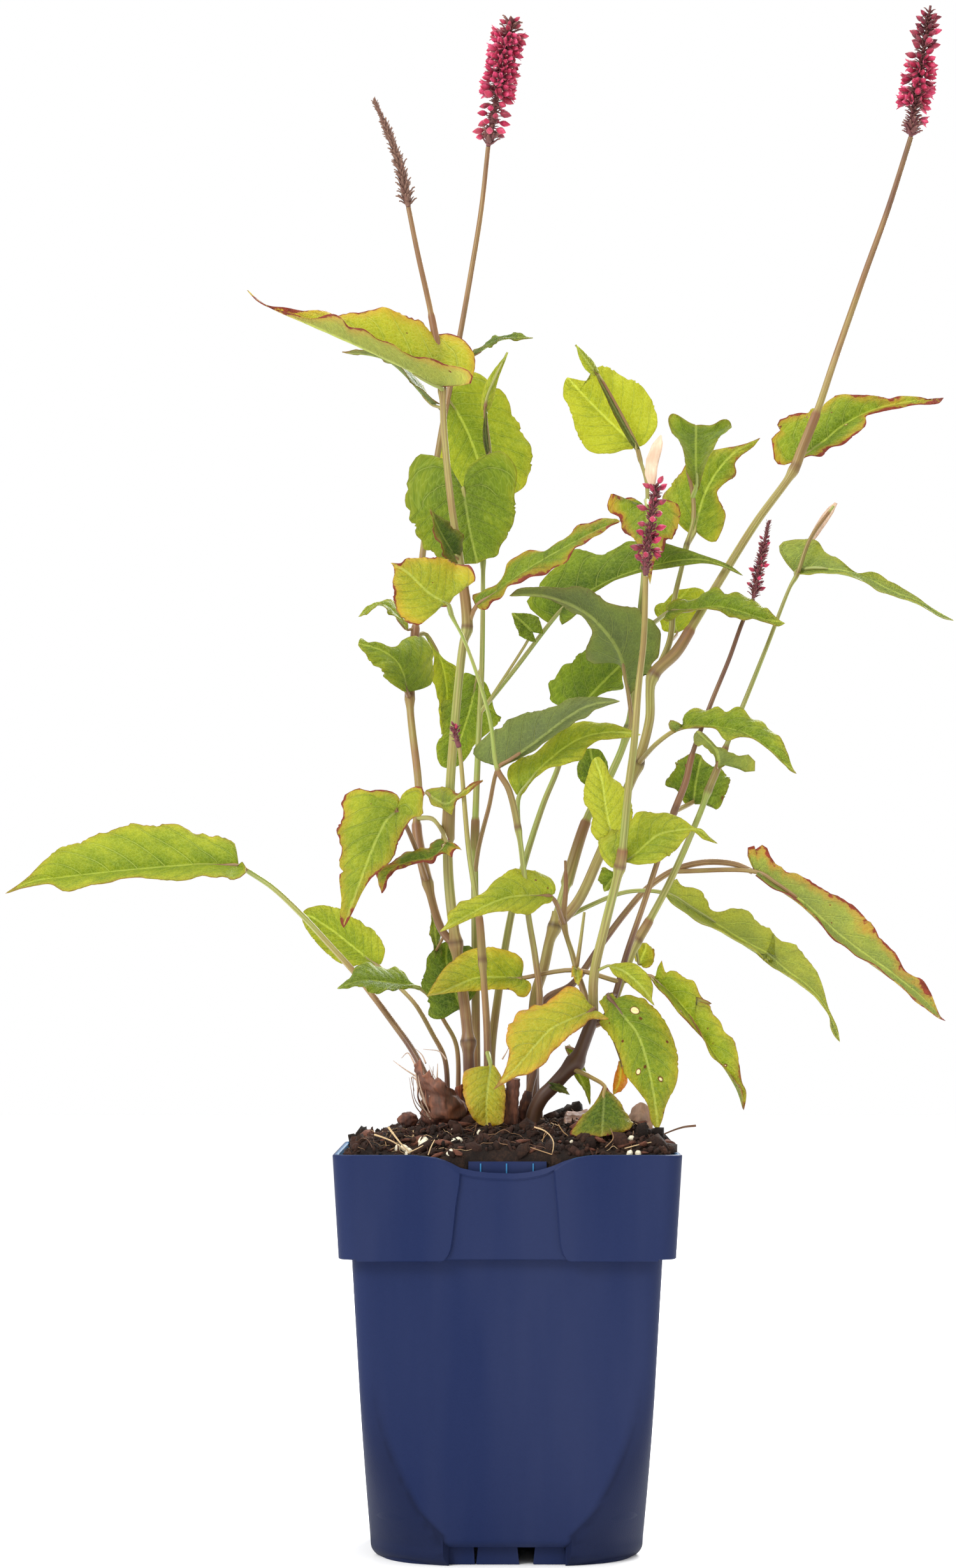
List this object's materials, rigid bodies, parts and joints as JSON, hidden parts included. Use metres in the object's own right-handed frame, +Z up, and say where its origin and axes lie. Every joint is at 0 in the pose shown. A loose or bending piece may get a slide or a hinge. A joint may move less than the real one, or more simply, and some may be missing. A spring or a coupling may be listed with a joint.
{
  "type": "potted mountain fleece",
  "caption": "Leafy mountain fleece plant with slender jointed stems, heart-based pointed leaves and narrow upright flower spikes, growing from dark soil in a tall square plastic nursery pot.",
  "frame": {"origin": "middle of the pot's base, on the pad that it stands on", "axes": "+Z up along the plant, +X to the right and -Y towards the viewer of the pot's panelled front side"},
  "size_m": [0.4351, 0.15, 0.7014],
  "materials": {
    "pot": "fine matte moulded surface",
    "soil": null,
    "crown": "woody brown crown with papery leaf bases",
    "leafage": null,
    "flower": "soft satin petals",
    "dry_spike": "dry brown scales"
  },
  "bodies": {
    "root": {"pot": "pot", "soil": "soil", "crown": "crown", "stem_left_pair": "leafage", "stem_rear": "leafage", "stem_small_bud": "leafage", "stem_gold_leaf": "leafage", "leaf_pale_stalk": "leafage", "stem_fork": "leafage", "stem_rootstock": "leafage", "leaf_far_left": "leafage", "leaf_rear_left": "leafage", "leaf_low_left": "leafage", "leaf_arching_right": "leafage", "spike_tall": "dry_spike", "spike_pink": "flower", "spike_right": "flower", "spike_middle": "flower", "spike_small": "flower", "spike_bud": "flower"}
  },
  "joints": []
}
